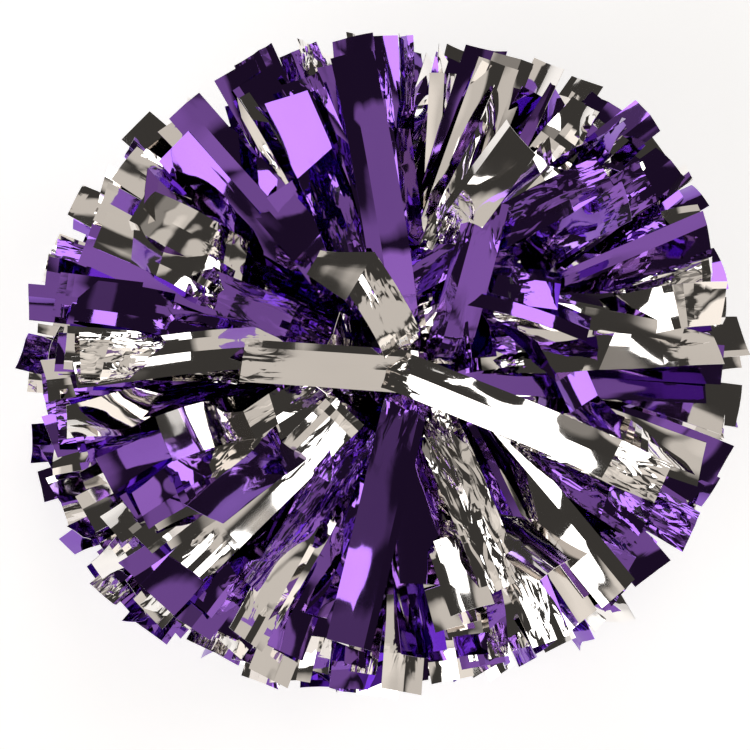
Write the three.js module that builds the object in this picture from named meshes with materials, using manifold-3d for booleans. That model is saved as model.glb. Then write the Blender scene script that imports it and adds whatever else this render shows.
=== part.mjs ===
// Cheerleading pom pom: two rosettes of wide-cut metallic film streamers, one on each end
// of a short moulded baton grip that the fluffed streamers hide.
// Millimetres, +Z up along the baton, standing on the splayed rear rosette at z = 0.
import * as THREE from 'three';
import { ConvexGeometry } from 'three/addons/geometries/ConvexGeometry.js';
import { mergeVertices } from 'three/addons/utils/BufferGeometryUtils.js';
import Module from 'manifold-3d';

const wasm = await Module();
wasm.setup();

// ---- Driving dimensions ----
const HALF_WIDTH = 163;      // reach of the fluffed streamers along X
const HALF_DEPTH = 148;      // reach of the fluffed streamers along Y
const BATON_CENTRE_Z = 134;  // height of the middle of the grip above the resting surface
const GRIP_LENGTH = 92;
const GRIP_RADIUS = 12;
const GRIP_BORE_RADIUS = 9;
const GRIP_RINGS = { count: 5, depth: 0.9, pitch: 14, halfWidth: 2.5 };
const TOUCHING_GAP = 0.3;    // clearance between pieces that rest on each other

// Hub at each end of the grip
const FLANGE_RADIUS = 20;
const FLANGE_THICKNESS = 3;
const NECK_RADIUS = 10;
const NECK_LENGTH = 23;
const SPIGOT_RADIUS = GRIP_BORE_RADIUS - TOUCHING_GAP;
const SPIGOT_LENGTH = 14;
const CAP_BORE_RADIUS = 3;

// What is on the neck
const BAND_THICKNESS = 3.2;  // gathered uncut middle of the folded film sheets
const TIE_THICKNESS = 1.7;
const TIE_WIDTH = 4.2;
const TIE_RISE = TOUCHING_GAP; // height of the tie above the flange
const TIE_HEAD = { length: 3.4, width: 5.4 };
const CAP_RADIUS = 14;
const CAP_THICKNESS = 3;
const CAP_CHAMFER = 1.2;
const STEM_RADIUS = CAP_BORE_RADIUS - TOUCHING_GAP;
const STEM_LENGTH = 15;

// Streamer tufts
const SECTORS = 8;
const ROOT_RADIUS = 19;      // distance of every tuft's hinge from the baton axis
const ROOT_HALF_THICKNESS = 1.5;
const ROOT_OVERLAP = 1.5;    // how far the root reaches inside its hinge
const TUFT_HALF_ANGLE = 5.5; // degrees, half of a tuft's thickness seen from its hinge
const SIDE_GAP = 0.8;        // half the clearance between neighbouring sectors
const ROUND_DETAIL = 32;     // flat sides on a piece turned about the baton axis

// Rings of tufts. tilt is the rest angle away from the baton's outward end, degrees.
// opened and closed are the limits of the tilt's change when the rosette is spread or folded.
const RINGS = {
  skirt: { hingeOffset: 57, tilt: 96, closed: -32, opened: 8 },
  middle: { hingeOffset: 65, tilt: 74, closed: -28, opened: 7 },
  upper: { hingeOffset: 73, tilt: 52, closed: -24, opened: 6 },
  base: { hingeOffset: 73, tilt: 52, closed: -28, opened: 7 },
};
const BASE_INNER_RADIUS = 83;   // the lowest ring lies on the surface from here...
const BASE_OUTER_SHARE = 0.92;  // ...to this share of the reach,
const BASE_EDGE_HEIGHT = 8;     // and is this thick at its outer edge
const CROWN_OFFSET = 81;
const FRONT_CROWN = { top: 306, rootRadius: 4, halfAngle: 14 };
const REAR_CROWN = { rootRadius: 4, footRadius: 20 };

// ---- Materials ----
const PURPLE_FILM = { color: 0x73449c, roughness: 0.18, metalness: 1 };
const SILVER_FILM = { color: 0xd9d4cc, roughness: 0.14, metalness: 1 };
const BLACK_PLASTIC = { color: 0x17171a, roughness: 0.45, metalness: 0 };
const CLEAR_NYLON = { color: 0xd8d8d0, roughness: 0.4, metalness: 0 };

const radians = THREE.MathUtils.degToRad;
const assembly = new THREE.Group();

function addMesh(name, geometry, look) {
  const mesh = new THREE.Mesh(geometry, new THREE.MeshStandardMaterial(look));
  mesh.name = name;
  assembly.add(mesh);
  return mesh;
}

// A solid of revolution about Z from a closed outline of [radius, z] points.
function turned(outline) {
  const points = outline.map(([radius, z]) => new THREE.Vector2(radius, z));
  points.push(points[0].clone());
  return new THREE.LatheGeometry(points, ROUND_DETAIL).rotateX(Math.PI / 2);
}

function toManifold(geometry) {
  const bare = geometry.clone();
  bare.deleteAttribute('normal');
  bare.deleteAttribute('uv');
  const merged = mergeVertices(bare, 1e-4);
  return new wasm.Manifold(new wasm.Mesh({
    numProp: 3,
    vertProperties: new Float32Array(merged.attributes.position.array),
    triVerts: new Uint32Array(merged.index.array),
  }));
}

function fromManifold(solid) {
  const mesh = solid.getMesh();
  const geometry = new THREE.BufferGeometry();
  geometry.setAttribute('position', new THREE.BufferAttribute(mesh.vertProperties, 3));
  geometry.setIndex(new THREE.BufferAttribute(mesh.triVerts, 1));
  geometry.computeVertexNormals();
  return geometry;
}

// ---- Baton ----
// Moulded grip tube with shallow rings for the fingers.
function gripTube() {
  const half = GRIP_LENGTH / 2;
  const outline = [[GRIP_BORE_RADIUS, -half], [GRIP_RADIUS, -half]];
  for (let ring = 0; ring < GRIP_RINGS.count; ring += 1) {
    const centre = (ring - (GRIP_RINGS.count - 1) / 2) * GRIP_RINGS.pitch;
    outline.push([GRIP_RADIUS, centre - GRIP_RINGS.halfWidth]);
    outline.push([GRIP_RADIUS - GRIP_RINGS.depth, centre]);
    outline.push([GRIP_RADIUS, centre + GRIP_RINGS.halfWidth]);
  }
  outline.push([GRIP_RADIUS, half], [GRIP_BORE_RADIUS, half]);
  return turned(outline).translate(0, 0, BATON_CENTRE_Z);
}

// The end pieces are drawn pointing up from z = 0 at the grip's middle, then placed at the
// front end as they are and at the rear end turned over.
function placeAtEnd(mesh, end) {
  mesh.position.z = BATON_CENTRE_Z;
  mesh.rotation.x = end === 'front' ? 0 : Math.PI;
}

const FLANGE_BASE = GRIP_LENGTH / 2 + TOUCHING_GAP;
const NECK_BASE = FLANGE_BASE + FLANGE_THICKNESS;
const NECK_TOP = NECK_BASE + NECK_LENGTH;

// Flanged hub: a spigot in the grip's bore, a flange, and the neck that the film is tied round.
function hub() {
  return turned([
    [CAP_BORE_RADIUS, FLANGE_BASE - SPIGOT_LENGTH],
    [SPIGOT_RADIUS, FLANGE_BASE - SPIGOT_LENGTH],
    [SPIGOT_RADIUS, FLANGE_BASE],
    [FLANGE_RADIUS, FLANGE_BASE],
    [FLANGE_RADIUS, NECK_BASE],
    [NECK_RADIUS, NECK_BASE],
    [NECK_RADIUS, NECK_TOP],
    [CAP_BORE_RADIUS, NECK_TOP],
  ]);
}

const BAND_INNER = NECK_RADIUS + TOUCHING_GAP;
const BAND_OUTER = BAND_INNER + BAND_THICKNESS;

function filmBand() {
  const bottom = NECK_BASE + TOUCHING_GAP;
  return turned([
    [BAND_INNER, bottom],
    [BAND_OUTER, bottom],
    [BAND_OUTER, NECK_TOP],
    [BAND_INNER, NECK_TOP],
  ]);
}

// Nylon cable tie drawn tight round the band, with its ratchet head between two sectors.
function cableTie() {
  const inner = BAND_OUTER + TOUCHING_GAP;
  const outer = inner + TIE_THICKNESS;
  const bottom = NECK_BASE + TIE_RISE;
  const strap = turned([
    [inner, bottom], [outer, bottom], [outer, bottom + TIE_WIDTH], [inner, bottom + TIE_WIDTH],
  ]);
  const head = new THREE.BoxGeometry(TIE_HEAD.length, TIE_HEAD.width, TIE_WIDTH);
  head.translate(inner + TIE_THICKNESS / 2 + TIE_HEAD.length / 2, 0, bottom + TIE_WIDTH / 2);
  head.rotateZ(Math.PI / SECTORS);
  return fromManifold(toManifold(strap).add(toManifold(head)));
}

// Push-in end cap whose disc keeps the film from sliding off the neck.
function endCap() {
  const bottom = NECK_TOP + TOUCHING_GAP;
  return turned([
    [0, bottom - STEM_LENGTH],
    [STEM_RADIUS, bottom - STEM_LENGTH],
    [STEM_RADIUS, bottom],
    [CAP_RADIUS, bottom],
    [CAP_RADIUS, bottom + CAP_THICKNESS - CAP_CHAMFER],
    [CAP_RADIUS - CAP_CHAMFER, bottom + CAP_THICKNESS],
    [0, bottom + CAP_THICKNESS],
  ]);
}

function addBaton() {
  addMesh('grip_tube', gripTube(), BLACK_PLASTIC);
  for (const end of ['front', 'rear']) {
    placeAtEnd(addMesh(`${end}_hub`, hub(), BLACK_PLASTIC), end);
    placeAtEnd(addMesh(`${end}_band`, filmBand(), SILVER_FILM), end);
    placeAtEnd(addMesh(`${end}_tie`, cableTie(), CLEAR_NYLON), end);
    placeAtEnd(addMesh(`${end}_end_cap`, endCap(), BLACK_PLASTIC), end);
  }
}

// ---- Streamer tufts ----
// How far the fluffed streamers reach from the baton axis at this azimuth: an ellipse.
function reach(azimuth) {
  return 1 / Math.hypot(Math.cos(azimuth) / HALF_WIDTH, Math.sin(azimuth) / HALF_DEPTH);
}

// Tuft outlines are lists of [outward, height] points in the sector's middle plane, measured
// from the tuft's hinge. A tilt of 0 degrees points along the baton, 90 straight out from it.
function fromTilt(tilt, along, across) {
  const sine = Math.sin(radians(tilt));
  const cosine = Math.cos(radians(tilt));
  return [along * sine - across * cosine, along * cosine + across * sine];
}

function rootCorners(tilt) {
  return [
    fromTilt(tilt, -ROOT_OVERLAP, -ROOT_HALF_THICKNESS),
    fromTilt(tilt, -ROOT_OVERLAP, ROOT_HALF_THICKNESS),
  ];
}

// A wedge of streamers from its root at the neck out to the ball's surface.
function fanOutline(ring, azimuth) {
  const length = reach(azimuth) - ROOT_RADIUS;
  const spread = Math.tan(radians(TUFT_HALF_ANGLE)) * length;
  return [
    ...rootCorners(ring.tilt),
    fromTilt(ring.tilt, length, -spread),
    fromTilt(ring.tilt, length, spread),
  ];
}

// The lowest ring lies on the resting surface, so its underside is flat there.
function baseOutline(ring, azimuth) {
  const surface = BATON_CENTRE_Z - ring.hingeOffset;
  const outer = reach(azimuth) * BASE_OUTER_SHARE - ROOT_RADIUS;
  return [
    ...rootCorners(ring.tilt),
    [BASE_INNER_RADIUS - ROOT_RADIUS, surface],
    [outer, surface],
    [outer, surface - BASE_EDGE_HEIGHT],
  ];
}

// Half the width that a point may have without leaving its sector at any tilt it can reach.
function allowedHalfWidth([outward, height], ring) {
  const nearest = Math.min(...[0, ring.closed, ring.opened].map(
    (turn) => outward * Math.cos(radians(turn)) + height * Math.sin(radians(turn)),
  ));
  return (ROOT_RADIUS + nearest) * Math.tan(Math.PI / SECTORS) - SIDE_GAP;
}

// One outline point spread across the sector along an arc about the baton axis.
function spreadAcross([outward, height], ring) {
  const radius = ROOT_RADIUS + outward;
  const steps = 5;
  let halfWidth = 0;
  for (let step = 0; step < steps; step += 1) {
    const chordOutward = Math.sqrt(radius ** 2 - halfWidth ** 2) - ROOT_RADIUS;
    halfWidth = allowedHalfWidth([chordOutward, height], ring);
  }
  return [-1, -0.5, 0, 0.5, 1].map((share) => {
    const y = share * halfWidth;
    return new THREE.Vector3(Math.sqrt(radius ** 2 - y ** 2), y, height);
  });
}

// end is +1 for the front rosette and -1 for the rear one, whose outlines point down.
function tuftGeometry(ring, outline, end) {
  const points = outline.flatMap((corner) => spreadAcross(corner, ring));
  points.forEach((point) => point.setZ(point.z * end));
  return new ConvexGeometry(points);
}

// Three tufts in five are purple and two are silver, staggered from ring to ring.
function isPurple(sector, ringName) {
  const stagger = Object.keys(RINGS).indexOf(ringName);
  return (sector * 2 + stagger) % 5 < 3;
}

function addRing(name, ringName, outlineOf, end) {
  const ring = RINGS[ringName];
  for (let sector = 0; sector < SECTORS; sector += 1) {
    const azimuth = sector * (2 * Math.PI / SECTORS);
    const label = String(Math.round(THREE.MathUtils.radToDeg(azimuth))).padStart(3, '0');
    const look = isPurple(sector, ringName) ? PURPLE_FILM : SILVER_FILM;
    const geometry = tuftGeometry(ring, outlineOf(ring, azimuth), end);
    const mesh = addMesh(`${name}_${label}`, geometry, look);
    mesh.rotation.z = azimuth;
    mesh.position.z = BATON_CENTRE_Z + end * ring.hingeOffset;
  }
}

// The few streamers that stand along the baton's own axis: an eight-sided cone.
function crownGeometry(rootRadius, tipRadius, length, end) {
  const points = [];
  for (let side = 0; side < SECTORS; side += 1) {
    const azimuth = (side + 0.5) * (2 * Math.PI / SECTORS);
    const direction = new THREE.Vector3(Math.cos(azimuth), Math.sin(azimuth), 0);
    points.push(direction.clone().multiplyScalar(rootRadius).setZ(-ROOT_OVERLAP * end));
    points.push(direction.clone().multiplyScalar(tipRadius).setZ(length * end));
  }
  return new ConvexGeometry(points);
}

function addCrowns() {
  const frontHinge = BATON_CENTRE_Z + CROWN_OFFSET;
  const frontLength = FRONT_CROWN.top - frontHinge;
  const frontTip = FRONT_CROWN.rootRadius
    + frontLength * Math.tan(radians(FRONT_CROWN.halfAngle));
  const front = crownGeometry(FRONT_CROWN.rootRadius, frontTip, frontLength, 1);
  addMesh('front_crown', front, PURPLE_FILM).position.z = frontHinge;

  const rearHinge = BATON_CENTRE_Z - CROWN_OFFSET;
  const rear = crownGeometry(REAR_CROWN.rootRadius, REAR_CROWN.footRadius, rearHinge, -1);
  addMesh('rear_crown', rear, SILVER_FILM).position.z = rearHinge;
}

addBaton();
addRing('front_skirt', 'skirt', fanOutline, 1);
addRing('front_middle', 'middle', fanOutline, 1);
addRing('front_upper', 'upper', fanOutline, 1);
addRing('rear_skirt', 'skirt', fanOutline, -1);
addRing('rear_middle', 'middle', fanOutline, -1);
addRing('rear_base', 'base', baseOutline, -1);
addCrowns();

export default assembly;
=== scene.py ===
"""Cheer pom pom: purple and silver metallic film streamers round a hidden baton grip.

Every streamer is its own thin closed strip of film. A strip is bent only along straight
rulings, as real film bends, then pleated where it is gathered at the neck and crumpled.
"""
import bpy
import math
import numpy as np
from mathutils import Matrix, Vector


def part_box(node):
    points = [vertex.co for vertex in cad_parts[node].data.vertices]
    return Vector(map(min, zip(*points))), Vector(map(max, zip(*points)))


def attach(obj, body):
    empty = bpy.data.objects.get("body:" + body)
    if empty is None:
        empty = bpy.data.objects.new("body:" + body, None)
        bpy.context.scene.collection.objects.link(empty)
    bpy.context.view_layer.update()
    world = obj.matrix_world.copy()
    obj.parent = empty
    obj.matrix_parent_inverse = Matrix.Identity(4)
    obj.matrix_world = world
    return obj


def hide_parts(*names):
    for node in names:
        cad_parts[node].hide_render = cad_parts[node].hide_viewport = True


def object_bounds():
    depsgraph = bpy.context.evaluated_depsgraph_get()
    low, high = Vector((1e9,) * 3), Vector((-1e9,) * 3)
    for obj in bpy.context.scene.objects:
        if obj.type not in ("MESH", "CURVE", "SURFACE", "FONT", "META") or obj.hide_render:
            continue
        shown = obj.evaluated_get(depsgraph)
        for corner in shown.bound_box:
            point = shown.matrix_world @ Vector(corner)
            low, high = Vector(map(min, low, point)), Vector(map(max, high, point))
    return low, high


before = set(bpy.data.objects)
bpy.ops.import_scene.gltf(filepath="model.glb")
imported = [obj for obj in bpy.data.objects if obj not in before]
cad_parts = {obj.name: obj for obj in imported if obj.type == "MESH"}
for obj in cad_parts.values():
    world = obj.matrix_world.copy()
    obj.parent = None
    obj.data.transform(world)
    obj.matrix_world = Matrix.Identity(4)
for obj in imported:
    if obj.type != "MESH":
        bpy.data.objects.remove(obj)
cad_low, cad_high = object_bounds()

# ---- Driving sizes, metres ----
STRIP_WIDTH = 0.019          # 3/4 inch cut
STRIP_LENGTH = 0.145         # free length from the tied band to the cut end
FILM_THICKNESS = 0.00016
ROWS = 40                    # steps from ruling to ruling along a strip
COLUMNS = 6                  # panels across a strip
SHARES = np.linspace(0, 1, ROWS + 1)
ACROSS = np.linspace(-0.5, 0.5, COLUMNS + 1)[None, :] * STRIP_WIDTH
ROOT_GAP = 0.0006            # between the gathered band and the streamers' roots
FLOOR_CLEARANCE = 0.0012
DROOP = 0.14                 # share of a strip's bend that is spread along its lying part

PURPLE_SHARE = 0.5
FILL_COUNTS = {"skirt": 16, "middle": 11, "upper": 8, "base": 14, "crown": 8}

grip_low, grip_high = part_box("grip_tube")
BATON_CENTRE_Z = (grip_low.z + grip_high.z) / 2
band_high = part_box("front_band")[1]
ROOT_RADIUS = band_high.x + ROOT_GAP
REACH_X = (cad_high.x - cad_low.x) / 2
REACH_Y = (cad_high.y - cad_low.y) / 2

# How each ring's streamers lie, in degrees from their rosette's end: rise is how they leave
# the neck, lie is how they end. In metres, reach is how far from the baton's axis their tips
# come and root is where they leave the neck, measured from the grip's middle.
RINGS = {
    "crown": {"rise": (-6, 10), "lie": (20, 60), "reach": (0.02, 0.04), "root": (0.070, 0.074)},
    "upper": {"rise": (-2, 30), "lie": (82, 98), "reach": (0.132, 0.160), "root": (0.066, 0.072)},
    "base": {"rise": (14, 40), "lie": (70, 96), "reach": (0.120, 0.158), "root": (0.066, 0.072)},
    "middle": {"rise": (26, 58), "lie": (86, 112), "reach": (0.124, 0.158), "root": (0.060, 0.066)},
    "skirt": {"rise": (60, 88), "lie": (98, 138), "reach": (0.112, 0.150), "root": (0.054, 0.060)},
}
CROWN_LENGTH = 0.4           # of a full streamer
SECTORS = 8

rng = np.random.default_rng(20)
FIRST_STRIP_SEED = 7         # each strip's own seed is one of a million from here on
STRIP_SEEDS = 1e6


# ---- Strip geometry ----
CLEAR_RULINGS = 0.8          # share of the change of slope at which two rulings would meet
ON_EDGE = 0.2                # a strip on the floor whose ruling is this upright is laid flat
SHARP_FOLD = math.radians(8)  # faces that meet at more than this show an edge
TINY = 1e-12

PLEAT_OPENING = 0.8          # the power of the distance by which gathered pleats open
CREASE_FADE = 0.35           # share by which a crease has softened at the cut end
ROOT_CURL = 0.4              # share of a strip's curl that it has at its root
FULL_CRUMPLE = 0.0012        # crumpling, in metres, at which the film is all facets
MOST_DENTS = 2
DENT_PLACES = (0.3, 1.05)    # shares of the length
DENT_DEPTHS = (0.0001, 0.0006)
DENT_LENGTHS = (0.03, 0.08)  # shares of the length
ROWS_PER_SWELL = 4
BROAD_SWELLS = 1.2           # of the crumpling
FINE_SWELLS = 0.15           # of the crumpling


def turn(vectors, axis, angle):
    """Rows of vectors turned about a unit axis by the right-hand rule."""
    cosine, sine = math.cos(angle), math.sin(angle)
    along = vectors @ axis
    return vectors * cosine + np.cross(axis, vectors) * sine + np.outer(along, axis) * (1 - cosine)


def limited_slopes(slopes, step, half_width):
    """Neighbouring rulings may not cross inside the strip, so their slopes change gently."""
    most = CLEAR_RULINGS * step / half_width
    for row in range(1, len(slopes)):
        change = slopes[row] - slopes[row - 1]
        slopes[row] = slopes[row - 1] + max(-most, min(most, change))
    for row in range(len(slopes) - 2, -1, -1):
        change = slopes[row] - slopes[row + 1]
        slopes[row] = slopes[row + 1] + max(-most, min(most, change))
    return slopes


def laid_on_floor(forward, across):
    """The same heading and facing, turned level so that a strip slides along the floor."""
    level = forward * [1, 1, 0]
    level = level / np.linalg.norm(level)
    facing = across * [1, 1, 0]
    facing = facing - level * (facing @ level)
    if np.linalg.norm(facing) < ON_EDGE:
        facing = np.cross([0, 0, 1], level)
    return level, facing / np.linalg.norm(facing)


def ruled_strip(strand):
    """A flat strip folded along its rulings: each row's centre, ruling and normal.
    folds[i] is the turn at row i in radians, positive outwards."""
    step = strand["length"] / ROWS
    centre = np.array(strand["root"], float)
    forward, across = strand["forward"], strand["across"]
    centres, rulings, normals = [], [], []
    for row in range(ROWS + 1):
        slope, fold = strand["slopes"][row], strand["folds"][row]
        axis = across + forward * slope
        axis = axis / np.linalg.norm(axis)
        rolled = turn(np.array([across, np.cross(forward, across)]), forward, strand["rolls"][row])
        half = turn(rolled[1:], axis, fold / 2)[0]
        centres.append(centre.copy())
        rulings.append(rolled[0] + forward * slope)
        normals.append(half)
        forward, across = turn(np.array([forward, across]), axis, fold)
        if centre[2] + forward[2] * step < FLOOR_CLEARANCE and forward[2] < 0:
            forward, across = laid_on_floor(forward, across)
        centre = centre + forward * step
    return np.array(centres), np.array(rulings), np.array(normals)


def wander(knots, generator):
    """Values from -1 to 1 that wander gently from row to row of a strip."""
    points = generator.uniform(-1, 1, knots)
    return np.interp(np.linspace(0, knots - 1, ROWS + 1), np.arange(knots), points)


def pleats(strand, share):
    """Offsets across and out of a strip that is gathered into pleats at its root."""
    panel = STRIP_WIDTH / COLUMNS
    opened = np.clip(share / strand["gathered"], 0, 1) ** PLEAT_OPENING
    squeeze = strand["pinch"] + (1 - strand["pinch"]) * opened
    zigzag = np.where(np.arange(COLUMNS + 1) % 2 == 0, 0.5, -0.5)[None, :]
    return ACROSS * squeeze, zigzag * panel * np.sqrt(1 - squeeze ** 2)


def crushing(strand, share, generator):
    """How much each row is crumpled, in metres: most at the root, and again at any dent."""
    near_root = np.exp(-((share / strand["gathered"]) ** 2))
    crumple = strand["crumple"] + (strand["root_crumple"] - strand["crumple"]) * near_root
    for at in generator.uniform(*DENT_PLACES, generator.integers(0, MOST_DENTS + 1)):
        depth = generator.uniform(*DENT_DEPTHS)
        length = generator.uniform(*DENT_LENGTHS)
        crumple = crumple + depth * np.exp(-(((share - at) / length) ** 2))
    return crumple


def swells(generator):
    """Heights over a strip's grid, as shares of its crumpling: broad swells and fine ones."""
    knots = ROWS // ROWS_PER_SWELL + 2
    heights = generator.uniform(-1, 1, (knots, COLUMNS + 1))
    rows = np.linspace(0, knots - 1, ROWS + 1)
    low = np.floor(rows).astype(int)
    high = np.minimum(low + 1, knots - 1)
    blend = (rows - low)[:, None]
    broad = heights[low] * (1 - blend) + heights[high] * blend
    fine = generator.uniform(-1, 1, (ROWS + 1, COLUMNS + 1))
    return BROAD_SWELLS * broad + FINE_SWELLS * fine


def cross_section(strand, generator):
    """Offsets across and out of each row: gathered pleats at the root that open along the
    strip, lengthwise creases, a slight curl, and crumpling."""
    share = SHARES[:, None]
    sideways, out = pleats(strand, share)
    for place, degrees in strand["creases"]:
        steepness = math.tan(math.radians(degrees)) * (1 - CREASE_FADE * share)
        out = out - np.abs(ACROSS - place * STRIP_WIDTH) * steepness
        sideways = sideways * math.cos(math.radians(degrees))
    curl = strand["curl"] * (ACROSS ** 2) / STRIP_WIDTH
    out = out + curl * (ROOT_CURL + (1 - ROOT_CURL) * share)
    crumple = crushing(strand, share, generator)
    out = out + crumple * swells(generator)
    return sideways, out, crumple


def strip_points(strand, generator):
    """The middle surface of one strip as a grid of points, with its film coordinates and how
    faceted it is there, from 0 to 1."""
    centres, rulings, normals = ruled_strip(strand)
    sideways, out, crumple = cross_section(strand, generator)
    points = (centres[:, None, :] + rulings[:, None, :] * sideways[:, :, None]
              + normals[:, None, :] * out[:, :, None])
    distance = np.linspace(0, strand["length"], ROWS + 1)[:, None]
    along = distance + strand["slopes"][:, None] * ACROSS
    over = ACROSS + 0 * distance
    film = np.stack([along, over, np.full_like(along, strand["seed"])], axis=-1)
    level = np.clip(crumple / FULL_CRUMPLE, 0, 1) + 0 * ACROSS
    return points, film, level


def shell(points):
    """A closed sheet of film thickness round a grid of points: vertices and quads."""
    along = np.gradient(points, axis=0)
    over = np.gradient(points, axis=1)
    normal = np.cross(along, over)
    normal = normal / np.maximum(np.linalg.norm(normal, axis=-1, keepdims=True), TINY)
    top = points + normal * FILM_THICKNESS / 2
    bottom = points - normal * FILM_THICKNESS / 2
    vertices = np.concatenate([top.reshape(-1, 3), bottom.reshape(-1, 3)])
    lowest = FLOOR_CLEARANCE / 3
    vertices[:, 2] = np.maximum(vertices[:, 2], lowest)
    index = np.arange((ROWS + 1) * (COLUMNS + 1)).reshape(ROWS + 1, COLUMNS + 1)
    below = index + index.size

    def quads(a, b, c, d):
        return np.stack([a.ravel(), b.ravel(), c.ravel(), d.ravel()], axis=-1)

    faces = [
        quads(index[:-1, :-1], index[1:, :-1], index[1:, 1:], index[:-1, 1:]),
        quads(below[:-1, :-1], below[:-1, 1:], below[1:, 1:], below[1:, :-1]),
        quads(index[:-1, 0], below[:-1, 0], below[1:, 0], index[1:, 0]),
        quads(index[:-1, -1], index[1:, -1], below[1:, -1], below[:-1, -1]),
        quads(index[0, :-1], index[0, 1:], below[0, 1:], below[0, :-1]),
        quads(index[-1, :-1], below[-1, :-1], below[-1, 1:], index[-1, 1:]),
    ]
    return vertices, np.concatenate(faces)


def film_piece(name, strands):
    """One object holding these strips, with the film coordinates that its material reads."""
    vertices, faces, films, levels = [], [], [], []
    count = 0
    for strand in strands:
        own_seed = int(strand["seed"] * STRIP_SEEDS) + FIRST_STRIP_SEED
        generator = np.random.default_rng(own_seed)
        points, film, level = strip_points(strand, generator)
        own_vertices, own_faces = shell(points)
        vertices.append(own_vertices)
        faces.append(own_faces + count)
        count += len(own_vertices)
        films.append(np.tile(film.reshape(-1, 3), (2, 1)))
        levels.append(np.tile(level.reshape(-1), 2))
    vertices = np.concatenate(vertices)
    faces = np.concatenate(faces)
    mesh = bpy.data.meshes.new(name)
    mesh.vertices.add(len(vertices))
    mesh.vertices.foreach_set("co", vertices.astype(np.float32).ravel())
    mesh.loops.add(faces.size)
    mesh.loops.foreach_set("vertex_index", faces.astype(np.int32).ravel())
    mesh.polygons.add(len(faces))
    mesh.polygons.foreach_set("loop_start", np.arange(0, faces.size, 4, dtype=np.int32))
    mesh.attributes.new("film", "FLOAT_VECTOR", "POINT").data.foreach_set(
        "vector", np.concatenate(films).astype(np.float32).ravel())
    mesh.attributes.new("crumple", "FLOAT", "POINT").data.foreach_set(
        "value", np.concatenate(levels).astype(np.float32))
    mesh.update(calc_edges=True)
    mesh.validate()
    mesh.polygons.foreach_set("use_smooth", np.ones(len(mesh.polygons), bool))
    mesh.set_sharp_from_angle(angle=SHARP_FOLD)
    piece = bpy.data.objects.new(name, mesh)
    bpy.context.scene.collection.objects.link(piece)
    return piece


# ---- How streamers lie ----
BEND_KNOTS = 12
BEND_UNEVENNESS = 0.5        # share by which the folds of a bend differ
SWAY_KNOTS = 9
SWAY = math.radians(2.2)     # most turn at a ruling by which a strip wanders up and down
WAVE_KNOTS = 6
END_SLANT = 0.12             # most slope of a cut end
ROLL_LEAD = 0.1              # a roll starts this share of the length before the bend
ROLL_SPAN = 0.24
TWIST_START = 0.5
TWIST_SPAN = 0.6

KINK_PLACES = (0.25, 0.94)   # shares of the length
KINK_SLOPES = (-0.5, 0.5)
SMALL_KINK_SHARE = 0.85
SMALL_KINKS = (6, 28)        # degrees
LARGE_KINKS = (30, 65)       # degrees
CREASE_ANGLES = (4, 22)      # degrees

LENGTHS = (0.95, 1.02)       # of a full streamer
BEND_PLACES = (0.06, 0.85)   # shares of the length
LEAST_TURN = 0.05            # between the sines of how a streamer rises and lies
PLACES_IN_SHARE = (0.1, 0.9)  # where a streamer leaves, within its share of its sector
CRUMPLED_SHARE = 0.12        # of the streamers are crumpled all along
HEADING_SPREAD = 17          # degrees
TWIST_SPREAD = 24            # degrees
ROLL_SPREAD = 26             # degrees
TOP_ROLL_SPREAD = 16         # degrees, where the streamers lie in view


def reach_share(azimuth):
    """How far the pom pom reaches at this azimuth, as a share of its reach along X."""
    radius = 1 / math.hypot(math.cos(azimuth) / REACH_X, math.sin(azimuth) / REACH_Y)
    return radius / REACH_X


def smooth_step(values):
    """Values from 0 to 1 with a gentle start and end."""
    values = np.clip(values, 0, 1)
    return values * values * (3 - 2 * values)


def make_strand(root, forward, across, fold, bend_at, length, generator, sharp=0.12, roll=0.0,
                twist=0.0, kinks=(), creases=(), curl=0.0, crumple=0.00005,
                root_crumple=0.0010, gathered=0.25, pinch=0.4, wave=0.2):
    """One strip. It leaves its root forwards and turns by fold radians about the line across
    it, mostly at the share bend_at of its length and over the share sharp. roll turns it
    about its own length at that bend and twist turns its free end on, both in degrees.
    kinks are (share of the length, degrees, slope of the fold line), and creases are (place
    across from -0.5 to 0.5, degrees)."""
    bend = np.exp(-(((SHARES - bend_at) / sharp) ** 2))
    bend *= 1 + BEND_UNEVENNESS * wander(BEND_KNOTS, generator)
    lying = SHARES > bend_at
    folds = fold * (1 - DROOP) * bend / bend.sum() + fold * DROOP * lying / max(lying.sum(), 1)
    sway = wander(SWAY_KNOTS, generator)
    folds += SWAY * (sway - sway.mean())
    slopes = wave * wander(WAVE_KNOTS, generator)
    for at, degrees, slope in kinks:
        row = int(round(at * ROWS))
        folds[row] += math.radians(degrees)
        slopes[max(row - 2, 0):row + 3] = slope
    slopes[-1] = generator.uniform(-END_SLANT, END_SLANT)
    slopes[0] = 0
    slopes = limited_slopes(slopes, length / ROWS, STRIP_WIDTH / 2)
    rolls = math.radians(roll) * smooth_step((SHARES - bend_at + ROLL_LEAD) / ROLL_SPAN)
    rolls += math.radians(twist) * smooth_step((SHARES - TWIST_START) / TWIST_SPAN)
    return {
        "root": root, "forward": forward, "across": across, "length": length,
        "folds": folds, "slopes": slopes, "rolls": rolls, "creases": creases, "curl": curl,
        "crumple": crumple, "root_crumple": root_crumple, "gathered": gathered,
        "pinch": pinch, "seed": float(generator.uniform(0, 1)),
    }


def level_direction(azimuth):
    """The horizontal unit vector at this azimuth in degrees."""
    angle = math.radians(azimuth)
    return np.array([math.cos(angle), math.sin(angle), 0.0])


def tilted(heading, end, degrees):
    """The unit vector this many degrees from the rosette's end towards a heading."""
    angle = math.radians(degrees)
    return heading * math.sin(angle) + np.array([0.0, 0.0, end * math.cos(angle)])


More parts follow.
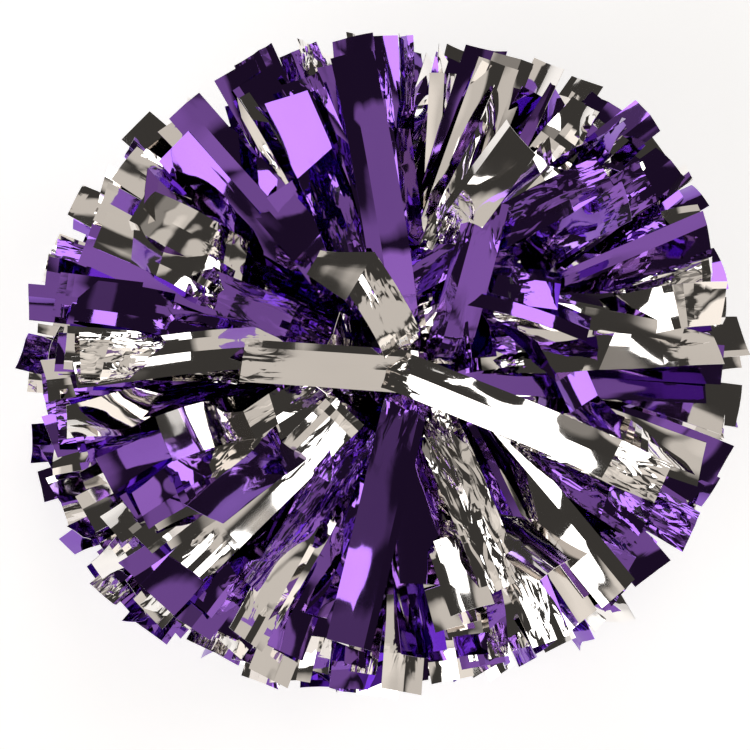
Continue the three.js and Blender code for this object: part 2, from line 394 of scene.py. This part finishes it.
def random_kinks(generator, average):
    """Sharp cross folds that mostly undo each other, so the strip keeps its way."""
    kinks = []
    sign = generator.choice([-1, 1])
    for share in np.sort(generator.uniform(*KINK_PLACES, generator.poisson(average))):
        small = generator.uniform() < SMALL_KINK_SHARE
        size = generator.uniform(*(SMALL_KINKS if small else LARGE_KINKS))
        kinks.append((float(share), float(sign * size), float(generator.uniform(*KINK_SLOPES))))
        sign = -sign
    return kinks


def random_creases(generator):
    """None, one or two lengthwise creases on the lines between panels."""
    count = generator.choice([0, 1, 1, 2])
    places = generator.choice(np.arange(1, COLUMNS), count, replace=False) / COLUMNS - 0.5
    return [(float(place), float(generator.uniform(*CREASE_ANGLES) * generator.choice([-1, 1])))
            for place in places]


def fill_strand(end, ring, azimuth, generator):
    """A streamer that lies at random within what its ring's streamers do."""
    lies = RINGS[ring]
    share = reach_share(math.radians(azimuth))
    length = STRIP_LENGTH * share * generator.uniform(*LENGTHS)
    if ring == "crown":
        length *= CROWN_LENGTH
    rise, lie = generator.uniform(*lies["rise"]), generator.uniform(*lies["lie"])
    reach = generator.uniform(*lies["reach"]) * share
    heading = level_direction(azimuth + generator.normal(0, HEADING_SPREAD))
    across = np.cross([0.0, 0.0, float(end)], heading)
    root = level_direction(azimuth) * ROOT_RADIUS
    root[2] = BATON_CENTRE_Z + end * generator.uniform(*lies["root"])
    sine_rise, sine_lie = math.sin(math.radians(rise)), math.sin(math.radians(lie))
    short_of_level = sine_lie - (reach - ROOT_RADIUS) / length
    turned = max(sine_lie - sine_rise, LEAST_TURN)
    bend_at = float(np.clip(short_of_level / turned, *BEND_PLACES))
    crumpled = generator.uniform() < CRUMPLED_SHARE
    roll_spread = TOP_ROLL_SPREAD if ring in ("upper", "crown") else ROLL_SPREAD
    return make_strand(
        root, tilted(heading, end, rise), across, math.radians(lie - rise), bend_at, length,
        generator, sharp=generator.uniform(0.06, 0.2), roll=generator.normal(0, roll_spread),
        twist=generator.normal(0, TWIST_SPREAD),
        kinks=random_kinks(generator, 2.2 if crumpled else 1.0),
        creases=random_creases(generator), curl=generator.uniform(-0.35, 0.35),
        crumple=generator.uniform(0.0005, 0.0010) if crumpled else 0.00004,
        root_crumple=generator.uniform(0.0007, 0.0012),
        gathered=generator.uniform(0.25, 0.5), pinch=generator.uniform(0.3, 0.55))


def top_strand(azimuth, reach, aside, lie, height, generator, start=0.006, **rest):
    """A streamer of the front rosette's top: it rises beside the baton's axis to a height
    over its root, bends over, and lies with its tip at this azimuth and reach, heading aside
    degrees off the tip's azimuth."""
    heading = level_direction(azimuth + aside)
    run = reach * math.cos(math.radians(aside)) - start
    bend_point = level_direction(azimuth) * reach - heading * run
    root = bend_point / np.linalg.norm(bend_point) * ROOT_RADIUS
    rising = bend_point - root
    rising[2] = height
    risen = np.linalg.norm(rising)
    forward = rising / risen
    final = tilted(heading, 1, lie)
    across = np.cross(forward, final)
    across = across / np.linalg.norm(across)
    root[2] = BATON_CENTRE_Z + generator.uniform(*RINGS["upper"]["root"])
    length = risen + run / math.sin(math.radians(lie))
    bend_at = risen / length
    looks = {"sharp": 0.07, "gathered": max(bend_at - 0.04, 0.05), "root_crumple": 0.0009,
             "crumple": 0.0001, "wave": 0.12, "curl": generator.uniform(-0.25, 0.25),
             "twist": generator.normal(0, 8), **rest}
    return make_strand(root, forward, across, math.acos(forward @ final), bend_at, length,
                       generator, **looks)


# The streamers on top of the front rosette, which are seen whole. Each is its colour, its
# tip's azimuth, its reach in millimetres, its heading from the tip's azimuth, its lie from
# the baton's axis, the height in millimetres where it bends over, and what sets it apart.
TOP_STREAMERS = [
    # the burst in the middle
    ("silver", 324, 104, 8, 88, 62, dict(start=-0.002, creases=[(0, 26)], root_crumple=0.0014)),
    ("silver", 190, 78, -10, 88, 60, dict(start=-0.003, creases=[(-0.33, 20)], roll=-8)),
    ("silver", 130, 66, -4, 84, 62, dict(start=-0.003, kinks=[(0.84, -165, 0.7)], sharp=0.13)),
    ("purple", 254, 122, -3, 84, 58, dict(creases=[(0.33, 16)], root_crumple=0.0022, roll=-4)),
    ("purple", 107, 128, -1, 84, 50, dict(creases=[(0.17, 8)], roll=6)),
    ("purple", 60, 70, 14, 84, 50, dict(start=0.0, creases=[(0.17, 20)], roll=-20)),
    ("silver", 228, 122, 0, 112, 62, dict(start=0.036, sharp=0.035, roll=-6, crumple=0.00005)),
    ("silver", 212, 116, 2, 88, 44, dict(start=0.03, crumple=0.0003, kinks=[(0.6, 18, 0.3)])),
    ("purple", 1, 78, -23, 84, 46, dict(creases=[(-0.17, 24)], sharp=0.16)),
    ("purple", 22, 58, -34, 82, 52, dict(creases=[(0.17, 16)], sharp=0.18)),
    ("purple", 330, 109, -22, 87, 44, dict(kinks=[(0.66, 34, 0.1), (0.76, -34, 0.1)])),
    ("silver", 287, 110, 1, 86, 42, dict(crumple=0.0008, root_crumple=0.0016)),
    ("purple", 275, 94, 1, 86, 44, dict(roll=-6)),
    ("purple", 37, 113, -13, 86, 40, dict(crumple=0.0003, creases=[(0, 12)])),
    ("silver", 23, 101, -24, 87, 44, dict(creases=[(0.17, 14)], roll=14)),
    ("silver", 11, 93, -18, 88, 40, dict(creases=[(-0.17, 16)])),
    ("silver", 2, 121, -8, 88, 36, dict(roll=38)),
    ("silver", 0, 108, 2, 88, 32, dict(creases=[(0.17, 10)])),
    ("purple", 357, 125, 4, 88, 34, dict(creases=[(0, 22)], roll=-6)),
    ("purple", 129, 80, 3, 84, 40, dict(roll=-14, start=0.02)),
    ("purple", 300, 92, -6, 84, 30, dict(creases=[(0, 30)], start=0.02)),
    ("purple", 240, 96, 4, 84, 34, dict(roll=-24, creases=[(0, 14)], start=0.02)),
    ("purple", 90, 90, 4, 84, 36, dict(roll=22, creases=[(0.17, 14)], start=0.02)),
    ("silver", 74, 92, 8, 86, 30, dict(crumple=0.0005, start=0.02)),
    ("purple", 204, 92, -6, 86, 26, dict(roll=12, start=0.02)),
    # the second row
    ("purple", 123, 126, 6, 90, 26, dict(roll=-8)),
    ("silver", 281, 117, -5, 90, 30, dict(crumple=0.0003, kinks=[(0.8, 28, 0)])),
    ("purple", 273, 138, 1, 90, 22, dict(roll=12)),
    ("purple", 283, 132, 2, 90, 20, dict(roll=-16, creases=[(0, 12)])),
    ("silver", 340, 137, 3, 90, 20, dict(roll=14)),
    ("silver", 315, 140, -3, 92, 20, dict(creases=[(0.17, 20)])),
    ("silver", 80, 120, 8, 84, 20, dict(creases=[(0.17, 24)], roll=14)),
    ("silver", 68, 135, 0, 88, 16, dict(creases=[(-0.17, 22)], roll=8)),
    ("silver", 58, 128, 4, 84, 14, dict(crumple=0.0006, roll=20)),
    ("purple", 43, 148, -5, 90, 14, dict(creases=[(0, 26)], roll=12)),
    ("purple", 31, 152, -12, 88, 14, dict(kinks=[(0.8, 40, 0.3)], creases=[(0, 12)])),
    ("purple", 10, 127, -12, 85, 14, dict(roll=10)),
    ("silver", 155, 128, 10, 84, 6, dict(roll=6, sharp=0.2)),
    ("silver", 145, 144, 4, 86, 6, dict(creases=[(0.17, 12)], sharp=0.2)),
    ("purple", 171, 148, 4, 90, 10, dict(creases=[(0, 10)])),
    ("silver", 166, 152, -3, 90, 5, dict(crumple=0.0003)),
    ("purple", 178, 142, -4, 90, 14, dict(roll=10)),
    ("purple", 188, 129, -11, 90, 20, dict(creases=[(0.17, 8)])),
    ("purple", 196, 140, -4, 92, 14, dict(crumple=0.0004)),
    ("purple", 204, 134, 2, 88, 16, dict(roll=14)),
    ("silver", 220, 128, 10, 90, 20, dict(curl=0.4)),
    ("purple", 222, 146, 2, 92, 12, dict(roll=10)),
    ("purple", 236, 142, -2, 90, 16, dict(creases=[(0, 14)])),
    ("silver", 243, 140, 2, 92, 14, dict(creases=[(0.17, 16)], curl=0.4)),
    ("purple", 262, 132, 4, 90, 18, dict(roll=-22)),
    ("silver", 250, 146, -2, 92, 12, dict(creases=[(0.17, 12)])),
    ("silver", 266, 146, 2, 93, 12, dict(creases=[(0, 20)])),
    ("purple", 296, 128, 4, 90, 16, dict(creases=[(0, 22)])),
    ("silver", 303, 132, -4, 90, 20, dict(creases=[(0, 24)])),
    ("silver", 291, 144, 2, 92, 12, dict(crumple=0.0005)),
    ("purple", 322, 132, 10, 86, 12, dict(crumple=0.0006)),
    ("silver", 349, 142, -6, 92, 14, dict(roll=-18)),
    ("purple", 100, 126, 4, 84, 20, dict(roll=16)),
    ("purple", 134, 138, 3, 90, 16, dict(roll=18, creases=[(0, 22)])),
    ("purple", 140, 130, -6, 86, 14, dict(roll=-26)),
    ("purple", 92, 134, -3, 90, 14, dict(roll=-14)),
    ("silver", 52, 140, 6, 90, 12, dict(creases=[(0.17, 18)])),
]


def tuft_strands(end, ring, azimuth_degrees, generator):
    """(colour, strand) for each streamer of one tuft, spread evenly over its sector."""
    made = []
    count = FILL_COUNTS[ring]
    spread = 360 if ring == "crown" else 360 / SECTORS
    places = (np.arange(count) + generator.uniform(*PLACES_IN_SHARE, count)) / count - 0.5
    purples = int(round(PURPLE_SHARE * count))
    colours = ["purple"] * purples + ["silver"] * (count - purples)
    generator.shuffle(colours)
    for colour, place in zip(colours, places):
        made.append((colour, fill_strand(end, ring, azimuth_degrees + place * spread, generator)))
    if end == 1 and ring == "upper":
        for colour, azimuth, reach, aside, lie, height, rest in TOP_STREAMERS:
            if abs((azimuth - azimuth_degrees + 180) % 360 - 180) <= spread / 2:
                made.append((colour, top_strand(azimuth, reach / 1000, aside, lie,
                                                height / 1000, generator, **rest)))
    return made


# ---- Materials ----
FILM_STRETCH = (0.35, 1, 9)      # facets are longer than wide, and differ from strip to strip
WARP_SCALE = 120
WARP = (0.012, 0.012, 0.012)
FACET_AXIS = (0.1, 0.1, 1)
BROAD_FACETS = (110, 0.09, 0.35)  # scale, steepness and turn in radians
SMALL_FACETS = (260, 0.1, -0.3)
FACETS_SHOW = (0.1, 0.9)         # levels of crumpling where facets start and are full
RIPPLES = (22, 120, 40)          # along, across and from strip to strip
RIPPLE_HEIGHT = 0.00012
WEAR_SCALE = 45
WEAR_RANGE = (0.3, 0.75)         # of the noise that makes the film glossier or duller
FILM_ROUGHNESS = (0.02, 0.08)
FILM_COAT_ROUGHNESS = 0.06
GRAIN_SCALE = 900                # moulded plastic's fine texture
GRAIN_HEIGHT = 0.0002
GRAIN_STRENGTH = 0.4
GRAIN_ROUGHNESS = 0.08


def set_inputs(tree, node, inputs):
    """Link each of these inputs to another node's output, or give it a value."""
    for key, value in inputs.items():
        if isinstance(value, bpy.types.NodeSocket):
            tree.links.new(value, node.inputs[key])
        else:
            node.inputs[key].default_value = value
    return node


def add_node(tree, kind, inputs):
    """A new node with these inputs set."""
    return set_inputs(tree, tree.nodes.new(kind), inputs)


def calculated(tree, kind, operation, *values):
    """The first output of a math or vector math node."""
    node = tree.nodes.new(kind)
    node.operation = operation
    return set_inputs(tree, node, dict(enumerate(values))).outputs[0]


def blended(tree, factor, first, second):
    """The colour between two others at this factor."""
    node = tree.nodes.new("ShaderNodeMix")
    node.data_type = "RGBA"
    return set_inputs(tree, node, {"Factor": factor, "A": first, "B": second}).outputs["Result"]


def attribute(tree, name):
    """The node that reads one of a mesh's own attributes."""
    node = tree.nodes.new("ShaderNodeAttribute")
    node.attribute_name = name
    return node


def new_material(name):
    """A material with nothing set, its node tree and its shader."""
    material = bpy.data.materials.new(name)
    material.use_nodes = True
    tree = material.node_tree
    tree.nodes.clear()
    shader = tree.nodes.new("ShaderNodeBsdfPrincipled")
    add_node(tree, "ShaderNodeOutputMaterial", {"Surface": shader.outputs[0]})
    return material, tree, shader


def crinkles(tree, film, spread):
    """The film's surface as a height: facets where it is crumpled, and faint ripples."""
    shift = add_node(tree, "ShaderNodeTexNoise", {
        "Vector": spread, "Scale": WARP_SCALE, "Detail": 1})
    warped = calculated(tree, "ShaderNodeVectorMath", "MULTIPLY_ADD",
                        shift.outputs["Color"], WARP, spread)

    def facets(scale, steepness, angle):
        """Height of joined flat-sided peaks, as crushed film has."""
        turned = add_node(tree, "ShaderNodeVectorRotate", {
            "Vector": warped, "Axis": FACET_AXIS, "Angle": angle})
        cells = add_node(tree, "ShaderNodeTexVoronoi", {
            "Vector": turned.outputs[0], "Scale": scale})
        cells.distance = "MANHATTAN"
        return calculated(tree, "ShaderNodeMath", "MULTIPLY",
                          cells.outputs["Distance"], steepness / scale)

    both = calculated(tree, "ShaderNodeMath", "ADD", facets(*BROAD_FACETS), facets(*SMALL_FACETS))
    amount = add_node(tree, "ShaderNodeMapRange", {
        "Value": attribute(tree, "crumple").outputs["Fac"],
        "From Min": FACETS_SHOW[0], "From Max": FACETS_SHOW[1]})
    faceted = calculated(tree, "ShaderNodeMath", "MULTIPLY", both, amount.outputs[0])
    ripple_space = calculated(tree, "ShaderNodeVectorMath", "MULTIPLY", film, RIPPLES)
    ripple = add_node(tree, "ShaderNodeTexNoise", {
        "Vector": ripple_space, "Scale": 1, "Detail": 1})
    rippled = calculated(tree, "ShaderNodeMath", "MULTIPLY", ripple.outputs["Fac"], RIPPLE_HEIGHT)
    return calculated(tree, "ShaderNodeMath", "ADD", faceted, rippled)


def film_material(name, tint, deep_tint, coat):
    """Metallised plastic film: a tinted mirror, crinkled into small flat facets."""
    material, tree, shader = new_material(name)
    film = attribute(tree, "film").outputs["Vector"]
    spread = calculated(tree, "ShaderNodeVectorMath", "MULTIPLY", film, FILM_STRETCH)
    bump = add_node(tree, "ShaderNodeBump", {
        "Strength": 1, "Distance": 1, "Height": crinkles(tree, film, spread)})
    wear = add_node(tree, "ShaderNodeTexNoise", {
        "Vector": spread, "Scale": WEAR_SCALE, "Detail": 4}).outputs["Fac"]
    gloss = add_node(tree, "ShaderNodeMapRange", {
        "Value": wear, "From Min": WEAR_RANGE[0], "From Max": WEAR_RANGE[1],
        "To Min": FILM_ROUGHNESS[0], "To Max": FILM_ROUGHNESS[1]})
    set_inputs(tree, shader, {
        "Base Color": blended(tree, wear, (*tint, 1), (*deep_tint, 1)),
        "Metallic": 1,
        "Roughness": gloss.outputs[0],
        "Normal": bump.outputs[0],
        "Coat Weight": coat,
        "Coat Roughness": FILM_COAT_ROUGHNESS,
    })
    return material


def moulded_plastic(name, colour, lighter, roughness):
    """Lightly textured moulded plastic."""
    material, tree, shader = new_material(name)
    place = tree.nodes.new("ShaderNodeTexCoord")
    grain = add_node(tree, "ShaderNodeTexNoise", {
        "Vector": place.outputs["Object"], "Scale": GRAIN_SCALE, "Detail": 3}).outputs["Fac"]
    bump = add_node(tree, "ShaderNodeBump", {
        "Strength": GRAIN_STRENGTH, "Distance": GRAIN_HEIGHT, "Height": grain})
    rough = add_node(tree, "ShaderNodeMapRange", {
        "Value": grain, "To Min": roughness - GRAIN_ROUGHNESS,
        "To Max": roughness + GRAIN_ROUGHNESS})
    set_inputs(tree, shader, {
        "Base Color": blended(tree, grain, (*colour, 1), (*lighter, 1)),
        "Roughness": rough.outputs[0],
        "Normal": bump.outputs[0],
    })
    return material


PURPLE = film_material("purple_film", (0.24, 0.103, 0.50), (0.207, 0.085, 0.445), 0.25)
SILVER = film_material("silver_film", (0.93, 0.90, 0.87), (0.84, 0.81, 0.79), 0.1)
FILMS = {"purple": PURPLE, "silver": SILVER}

HARDWARE_LOOKS = {
    "grip_tube": moulded_plastic("grip_plastic", (0.012, 0.012, 0.013), (0.02, 0.02, 0.021), 0.5),
    "hub": moulded_plastic("hub_plastic", (0.018, 0.018, 0.019), (0.026, 0.026, 0.027), 0.38),
    "end_cap": moulded_plastic("cap_plastic", (0.018, 0.018, 0.019), (0.026, 0.026, 0.027), 0.35),
    "tie": moulded_plastic("tie_nylon", (0.62, 0.62, 0.58), (0.72, 0.72, 0.68), 0.4),
}


def paint(node, material):
    """Give a kept CAD node this material."""
    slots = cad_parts[node].data.materials
    slots.clear()
    slots.append(material)


paint("grip_tube", HARDWARE_LOOKS["grip_tube"])
for side in ("front", "rear"):
    for part in ("hub", "end_cap", "tie"):
        paint(f"{side}_{part}", HARDWARE_LOOKS[part])
    paint(f"{side}_band", SILVER)


# ---- Make every tuft ----
def build_tuft(node, end, ring, azimuth):
    """The loose streamers that stand in for one CAD tuft, a piece for each colour."""
    groups = {"purple": [], "silver": []}
    for colour, strand in tuft_strands(end, ring, azimuth, rng):
        groups[colour].append(strand)
    for colour, strands in groups.items():
        if not strands:
            continue
        piece = film_piece(f"{node}_{colour}", strands)
        piece.data.materials.append(FILMS[colour])
        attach(piece, node)
        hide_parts(node)


for side, end, rings in (("front", 1, ("skirt", "middle", "upper")),
                         ("rear", -1, ("skirt", "middle", "base"))):
    for ring in rings:
        for sector in range(SECTORS):
            azimuth = sector * 360 // SECTORS
            build_tuft(f"{side}_{ring}_{azimuth:03d}", end, ring, azimuth)
    build_tuft(f"{side}_crown", end, "crown", 0)


# ---- Floor, light and camera ----
FLOOR_HALF_WIDTH = 6.0
FLOOR_COLOUR = (0.86, 0.86, 0.86, 1)
FLOOR_GLOW = 0.5             # the pale floor is faintly lit from beneath
BACKDROP_COLOUR = (0.95, 0.95, 0.95, 1)

# Softboxes: azimuth and elevation in degrees, distance and width in metres.
SOFTBOXES = {
    "softbox_left": (217, 45, 1.8, 1.2),
    "softbox_right": (15, 26, 1.9, 1.0),
    "softbox_back": (95, 48, 1.9, 0.7),
}
SOFTBOX_RADIANCE = 2.9
SOFTBOX_COLOUR = (1, 0.99, 0.97)

CAMERA_AZIMUTH = -45         # degrees, where 0 looks along +Y
CAMERA_ELEVATION = 79.5      # degrees
CAMERA_DISTANCE = 1.3
CAMERA_AIM = 0.02            # above the grip's middle
VIEW_WIDTH = 0.337           # at the aim


def add_floor():
    """A plain pale floor."""
    half = FLOOR_HALF_WIDTH
    mesh = bpy.data.meshes.new("floor")
    mesh.from_pydata([(-half, -half, 0), (half, -half, 0), (half, half, 0), (-half, half, 0)],
                     [], [(0, 1, 2, 3)])
    floor = bpy.data.objects.new("floor", mesh)
    bpy.context.scene.collection.objects.link(floor)
    material, tree, shader = new_material("floor_paper")
    set_inputs(tree, shader, {
        "Base Color": FLOOR_COLOUR,
        "Roughness": 0.9,
        "Emission Color": (1, 1, 1, 1),
        "Emission Strength": FLOOR_GLOW,
    })
    mesh.materials.append(material)


def direction(azimuth, elevation):
    """The unit vector at this azimuth from +X and this elevation, in degrees."""
    a, e = math.radians(azimuth), math.radians(elevation)
    return Vector((math.cos(a) * math.cos(e), math.sin(a) * math.cos(e), math.sin(e)))


def add_softbox(name, azimuth, elevation, distance, size):
    """A square area light aimed at the pom pom's middle."""
    away = direction(azimuth, elevation)
    data = bpy.data.lights.new(name, "AREA")
    data.shape = "SQUARE"
    data.size = size
    data.energy = SOFTBOX_RADIANCE * math.pi * size * size
    data.color = SOFTBOX_COLOUR
    light = bpy.data.objects.new(name, data)
    light.location = Vector((0, 0, BATON_CENTRE_Z)) + away * distance
    light.rotation_mode = "QUATERNION"
    light.rotation_quaternion = away.to_track_quat("Z", "Y")
    light.visible_camera = False
    bpy.context.scene.collection.objects.link(light)


# What the film mirrors besides the softboxes: each is an azimuth, an elevation, a half
# angle and an edge width in degrees, and a radiance.
WARM = (1.0, 0.93, 0.85)
DARK_WALL = 0.042
STUDIO_PANELS = [
    (225, 84, 19, 3, 0.6),
    (245, 76, 9, 6, 0.85),
    (290, 50, 14, 4, 0.62),
    (150, 30, 13, 2, 0.62),
    (245, 16, 18, 3, 0.62),
    (65, 22, 14, 3, 0.6),
    (345, 40, 12, 3, 0.6),
    (115, 62, 9, 4, 0.25),
    (320, 14, 15, 3, 1.1),
    (160, 14, 12, 3, 1.1),
]


def warm(radiance):
    """The studio's pale warm colour at this radiance."""
    return (*[radiance * channel for channel in WARM], 1)


def add_world():
    """A dark studio with pale warm panels, and a plain pale backdrop behind the pom pom."""
    world = bpy.data.worlds.new("studio")
    bpy.context.scene.world = world
    world.use_nodes = True
    tree = world.node_tree
    tree.nodes.clear()
    place = tree.nodes.new("ShaderNodeTexCoord")
    walls = warm(DARK_WALL)
    for azimuth, elevation, half_angle, edge, radiance in STUDIO_PANELS:
        facing = tree.nodes.new("ShaderNodeVectorMath")
        facing.operation = "DOT_PRODUCT"
        set_inputs(tree, facing, {
            0: place.outputs["Generated"], 1: direction(azimuth, elevation)})
        inside = add_node(tree, "ShaderNodeMapRange", {
            "Value": facing.outputs["Value"],
            "From Min": math.cos(math.radians(half_angle + edge)),
            "From Max": math.cos(math.radians(half_angle))})
        walls = blended(tree, inside.outputs[0], walls, warm(radiance))
    reflected = add_node(tree, "ShaderNodeBackground", {"Color": walls})
    backdrop = add_node(tree, "ShaderNodeBackground", {"Color": BACKDROP_COLOUR})
    rays = tree.nodes.new("ShaderNodeLightPath")
    seen = add_node(tree, "ShaderNodeMixShader", {
        "Fac": rays.outputs["Is Camera Ray"], 1: reflected.outputs[0], 2: backdrop.outputs[0]})
    add_node(tree, "ShaderNodeOutputWorld", {"Surface": seen.outputs[0]})


def add_camera():
    """Nearly straight down the baton, from a little to the lower left of it."""
    azimuth, elevation = math.radians(CAMERA_AZIMUTH), math.radians(CAMERA_ELEVATION)
    away = Vector((math.sin(azimuth) * math.cos(elevation),
                   -math.cos(azimuth) * math.cos(elevation), math.sin(elevation)))
    target = Vector((0, 0, BATON_CENTRE_Z + CAMERA_AIM))
    data = bpy.data.cameras.new("camera")
    data.sensor_width = 36
    data.lens = data.sensor_width * CAMERA_DISTANCE / VIEW_WIDTH
    data.clip_end = 50
    camera = bpy.data.objects.new("camera", data)
    camera.location = target + away * CAMERA_DISTANCE
    right = Vector((0, 1, 0)).cross(away).normalized()
    upward = away.cross(right)
    camera.matrix_world = Matrix((
        (right.x, upward.x, away.x, camera.location.x),
        (right.y, upward.y, away.y, camera.location.y),
        (right.z, upward.z, away.z, camera.location.z),
        (0, 0, 0, 1),
    ))
    bpy.context.scene.collection.objects.link(camera)
    bpy.context.scene.camera = camera


add_floor()
add_world()
for softbox, (azimuth, elevation, distance, size) in SOFTBOXES.items():
    add_softbox(softbox, azimuth, elevation, distance, size)
add_camera()
bpy.context.scene.view_settings.view_transform = "Standard"
